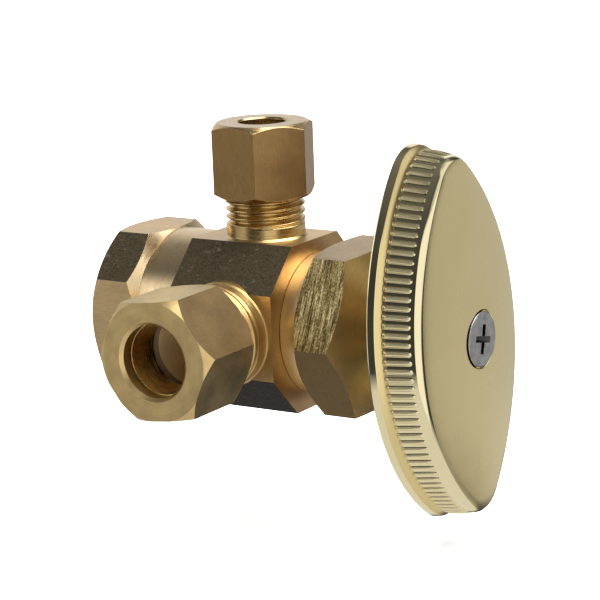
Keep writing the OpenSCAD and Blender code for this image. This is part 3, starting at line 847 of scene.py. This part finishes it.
# white paper: flat floor, quarter-round bend of radius BEND, upright back
BEND, BEND_AT, HALF_W = 0.35, 0.55, 1.6
bends = [a * math.pi / 24 for a in range(1, 13)]
sweep = [(-1.2, 0.0), (BEND_AT, 0.0)]
sweep += [(BEND_AT + BEND * math.sin(a), BEND - BEND * math.cos(a)) for a in bends]
sweep += [(BEND_AT + BEND, 1.6)]
a, e = math.radians(AZ), math.radians(EL)
away = Vector((-math.sin(a), math.cos(a), 0))
side = Vector((math.cos(a), math.sin(a), 0))
fv, ff = [], []
for d, h in sweep:
    for s in (-HALF_W, HALF_W):
        p = away * d + side * s
        fv.append((p.x / MM, p.y / MM, (FLOOR_Z + h) / MM))
for i in range(len(sweep) - 1):
    ff.append((2 * i, 2 * i + 1, 2 * i + 3, 2 * i + 2))
tf = Tree("floor_paper")
fobj = tf.coords()
fn = tf.noise(fobj, 9.0, 3.0, 0.5)
M["floor"] = tf.out(tf.mix(tf.span(fn, 0.3, 0.7), (0.90, 0.90, 0.895), (0.92, 0.92, 0.915)),
                    tf.span(fn, 0.3, 0.7, 0.75, 0.85), tf.bump(tf.noise(fobj, 900.0, 3.0, 0.6), 0.00002, 0.3),
                    metallic=0.0, Emission_Color=(1.0, 1.0, 1.0), Emission_Strength=0.35)
floor = obj_from("floor", fv, ff, ["floor"])
floor.visible_glossy = False

world = bpy.data.worlds.new("studio")
bpy.context.scene.world = world
world.use_nodes = True
tw = Tree("studio", world.node_tree)
dx, dy, dz = tw.split(tw.node("ShaderNodeTexCoord", out=0))
turn = tw.math("MULTIPLY", tw.math("ARCTAN2", dy, dx), 180 / math.pi)


def panel(az0, az1, z0, z1, value, soft_a=3.0, soft_z=0.05):
    """Soft-edged bright sheet seen between two azimuths and two heights."""
    m = tw.span(turn, az0 - soft_a, az0 + soft_a)
    m = tw.math("MULTIPLY", m, tw.span(turn, az1 - soft_a, az1 + soft_a, 1.0, 0.0))
    m = tw.math("MULTIPLY", m, tw.span(dz, z0 - soft_z, z0 + soft_z))
    m = tw.math("MULTIPLY", m, tw.span(dz, z1 - soft_z, z1 + soft_z, 1.0, 0.0))
    return tw.math("MULTIPLY", m, value)


sky = tw.ramp(tw.span(dz, -1.0, 1.0), (0.0, 0.05), (0.60, 0.05), (0.80, 0.08), (0.92, 0.14), (1.0, 0.20))
table = tw.math("MULTIPLY", tw.span(dz, -0.60, -0.47, 0.80, 0.0), tw.span(dy, 0.52, 0.72, 1.0, 0.0))
sky = tw.math("MAXIMUM", sky, table)
PANELS = ((-66, 9, -0.60, 0.45, 1.12), (25, 100, -0.48, 0.26, 0.60, 3.0, 0.08),
          (98, 175, -0.28, 0.66, 1.00, 8.0, 0.08), (-155, -119, 0.05, 0.62, 1.6, 3.5, 0.08),
          (-158, -131, -0.45, 0.10, 0.62, 4.0, 0.08), (45, 100, 0.72, 1.10, 0.35, 8.0, 0.08),
          (25, 100, -0.44, -0.24, 0.72, 3.0, 0.06), (-134, -118, -0.45, 0.10, 0.90, 3.0, 0.08),
          (-25, 65, 0.42, 0.95, 0.95, 8.0, 0.10))
for sheet in PANELS:
    sky = tw.math("MAXIMUM", sky, panel(*sheet))
background = tw.nt.nodes["Background"]
tw.put(background.inputs[0], sky)
background.inputs[1].default_value = 1.0

# the lamp overhead doesn't light the handle, whose polished side would show it as a burnt patch
key = area("key_top", (0.24, 0.08, 0.55), (0.03, 0, 0), (0.60, 0.60), 5.9)
beyond = bpy.data.collections.new("not_lit_by_key")
beyond.objects.link(shell)
key.light_linking.receiver_collection = beyond
beyond.collection_objects[0].light_linking.link_state = "EXCLUDE"
table_light = area("table_light", (0.0, -0.10, 0.60), (0.03, 0, 0), (0.7, 0.6), 9.0)
table_light.visible_glossy = False

cam_data = bpy.data.cameras.new("camera")
cam = bpy.data.objects.new("camera", cam_data)
bpy.context.scene.collection.objects.link(cam)
cam_data.lens, cam_data.sensor_width = LENS, 36
cam_data.clip_start, cam_data.clip_end = 0.01, 10
back_v = Vector((math.sin(a) * math.cos(e), -math.cos(a) * math.cos(e), math.sin(e)))
x_v = Vector((0, 0, 1)).cross(back_v).normalized()
y_v = back_v.cross(x_v)
c_, s_ = math.cos(math.radians(ROLL)), math.sin(math.radians(ROLL))
xr, yr = x_v * c_ + y_v * s_, y_v * c_ - x_v * s_
pos = TARGET + back_v * DIST
cam.matrix_world = Matrix(((xr.x, yr.x, back_v.x, pos.x), (xr.y, yr.y, back_v.y, pos.y),
                           (xr.z, yr.z, back_v.z, pos.z), (0, 0, 0, 1)))
bpy.context.scene.camera = cam
bpy.context.scene.view_settings.view_transform = "Standard"
